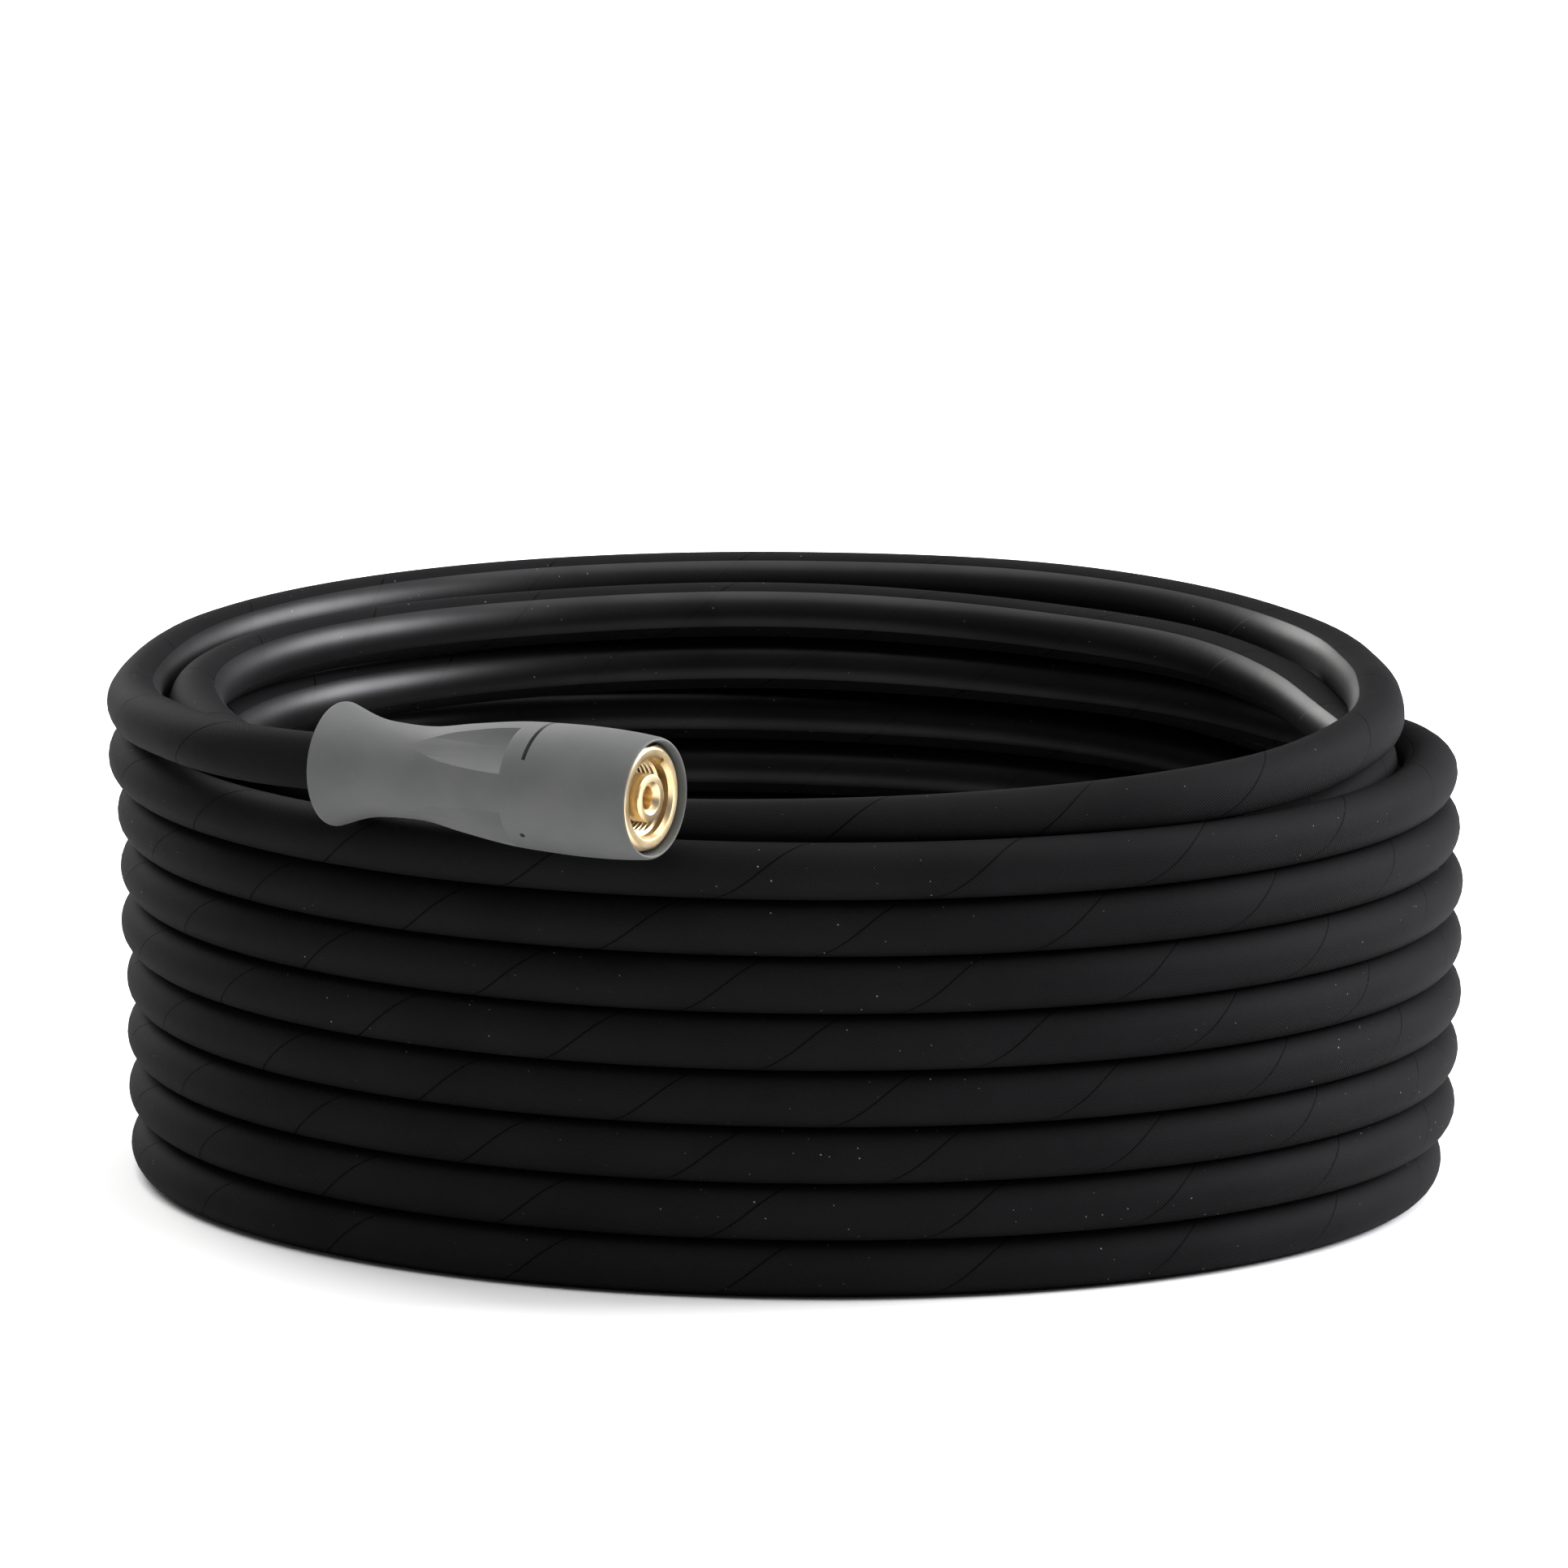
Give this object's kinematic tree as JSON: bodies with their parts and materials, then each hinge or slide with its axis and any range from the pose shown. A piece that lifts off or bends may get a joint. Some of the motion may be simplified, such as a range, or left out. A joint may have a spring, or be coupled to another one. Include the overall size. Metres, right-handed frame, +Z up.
{
  "type": "pressure washer hose",
  "caption": "Black braided-rubber pressure washer hose laid as a round coil, with a grey grip sleeve and a brass swivel screw nut on each end.",
  "frame": {"origin": "on the floor, under the middle of the whole object's footprint", "axes": "+Z up along the coil's axis; the outer fitting lies on the -Y side and points towards +X and -Y"},
  "size_m": [0.4022, 0.4288, 0.1673],
  "materials": {
    "black_rubber": "matte, cloth-marked, with a smooth stripe",
    "grey_grip": "matte, finely pitted",
    "brass": "machined, bright",
    "zinc_steel": "zinc plated"
  },
  "bodies": {
    "hose": {"hose_coil": "black_rubber", "hose_floor_turns": "black_rubber", "hose_top": "black_rubber", "hose_tail": "black_rubber", "nipple_a": "brass", "crimp_ferrule_a": "zinc_steel", "nipple_b": "brass", "crimp_ferrule_b": "zinc_steel"},
    "grip_a": {"grip_sleeve_a": "grey_grip", "swivel_nut_a": "brass"},
    "grip_b": {"grip_sleeve_b": "grey_grip", "swivel_nut_b": "brass"}
  },
  "joints": [
    {"name": "outer_swivel", "type": "hinge", "parent": "hose", "child": "grip_a", "pos_m": [-0.03859, -0.19872, 0.14875], "axis": [0.8535, -0.521, 0.0052], "continuous": true},
    {"name": "inner_swivel", "type": "hinge", "parent": "hose", "child": "grip_b", "pos_m": [-0.06838, 0.12039, 0.019], "axis": [0, 1, 0], "continuous": true}
  ]
}
